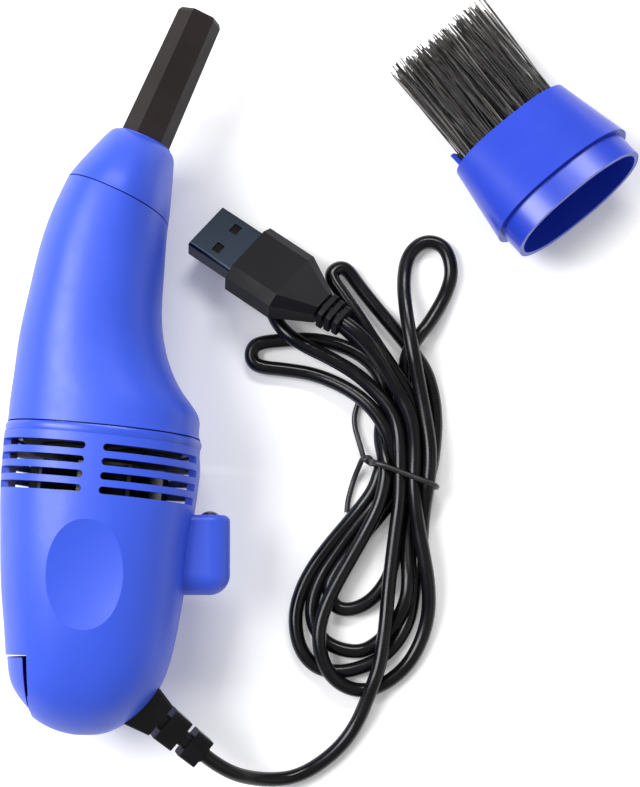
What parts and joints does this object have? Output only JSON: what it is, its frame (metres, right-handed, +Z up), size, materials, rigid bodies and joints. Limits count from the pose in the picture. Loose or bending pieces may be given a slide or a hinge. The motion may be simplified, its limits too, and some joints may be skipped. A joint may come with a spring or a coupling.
{
  "type": "desktop mini vacuum cleaner",
  "caption": "Hand-held corded keyboard vacuum lying on its side, with a curved dust cup, slim nozzle, slotted motor housing, loose brush attachment and a tied cord with a USB plug.",
  "frame": {"origin": "middle of the footprint of the vacuum and its loose brush, on the table, leaving out the cord", "axes": "+Z up from the table, +Y along the vacuum from its tail towards its nozzle, +X from the vacuum towards the loose brush"},
  "size_m": [0.1315, 0.1668, 0.0389],
  "materials": {
    "body_blue": "semi-gloss moulded",
    "ring_blue": "semi-gloss moulded",
    "collar_blue": "gloss",
    "nozzle_black": "satin",
    "dark_plastic": "matte",
    "fan_black": "satin",
    "filter_cloth": "woven",
    "steel": "brushed",
    "rotor_steel": "laminated",
    "magnet": "sintered ferrite",
    "brass": "bright",
    "pad_rubber": "soft",
    "switch_red": "matte",
    "board_green": "lacquered",
    "resistor_tan": "matte",
    "lamp_dark": "smoked",
    "wire_red": "insulated",
    "cord_black": "semi-gloss",
    "tie_black": "matte",
    "plug_black": "satin",
    "plug_metal": "plated",
    "tongue_dark": "matte",
    "bristle_black": "nylon"
  },
  "bodies": {
    "housing": {"coupling_ring": "ring_blue", "filter_frame": "dark_plastic", "filter_cloth": "filter_cloth", "rear_shell_upper": "body_blue", "rear_shell_lower": "body_blue", "intake_plate": "dark_plastic", "motor_can": "steel", "motor_bush": "brass", "motor_magnets": "magnet", "motor_end_cap": "dark_plastic", "motor_terminals": "brass", "motor_bracket": "dark_plastic", "bracket_screws": "steel", "motor_pad": "pad_rubber", "shell_screws": "steel", "button_pin": "steel", "switch_body": "dark_plastic", "switch_plunger": "switch_red", "circuit_board": "board_green", "resistor": "resistor_tan", "led_lamp": "lamp_dark", "lamp_leads": "steel", "motor_wires": "wire_red", "supply_wires": "wire_red", "strain_relief": "cord_black", "cord_lead": "cord_black", "cord_hank": "cord_black", "plug_lead": "cord_black", "cord_tie": "tie_black", "plug_shell": "plug_metal", "plug_tongue": "tongue_dark", "plug_contacts": "brass", "plug_overmold": "plug_black"},
    "fan": {"impeller": "fan_black", "motor_shaft": "steel", "motor_rotor": "rotor_steel"},
    "dust_cup": {"front_shell": "body_blue"},
    "nose": {"nose_cap": "body_blue"},
    "nozzle_tube": {"nozzle": "nozzle_black"},
    "button": {"power_button": "body_blue"},
    "brush": {"brush_collar": "collar_blue", "bristle_holder": "collar_blue", "bristle_tufts": "bristle_black"}
  },
  "joints": [
    {"name": "fan_spin", "type": "hinge", "parent": "housing", "child": "fan", "pos_m": [-0.0451, -0.0168, 0.0195], "axis": [0.0941, 0.9956, 0], "continuous": true},
    {"name": "front_pull", "type": "slide", "parent": "housing", "child": "dust_cup", "axis": [0.0941, 0.9956, 0], "range_m": [0, 0.03]},
    {"name": "cap_pull", "type": "slide", "parent": "dust_cup", "child": "nose", "axis": [0.4067, 0.9135, 0], "range_m": [0, 0.012]},
    {"name": "nozzle_pull", "type": "slide", "parent": "nose", "child": "nozzle_tube", "axis": [0.3955, 0.9184, 0], "range_m": [0, 0.012]},
    {"name": "power_press", "type": "hinge", "parent": "housing", "child": "button", "pos_m": [-0.0573, -0.0714, 0.0195], "axis": [0, 0, -1], "range_deg": [0, 3.5], "stiffness_Nm_per_rad": 0.3, "springref_deg": -0.29},
    {"name": "brush_lift", "type": "slide", "parent": "housing", "child": "brush", "axis": [0, 0, 1], "range_m": [0, 0.06]}
  ]
}
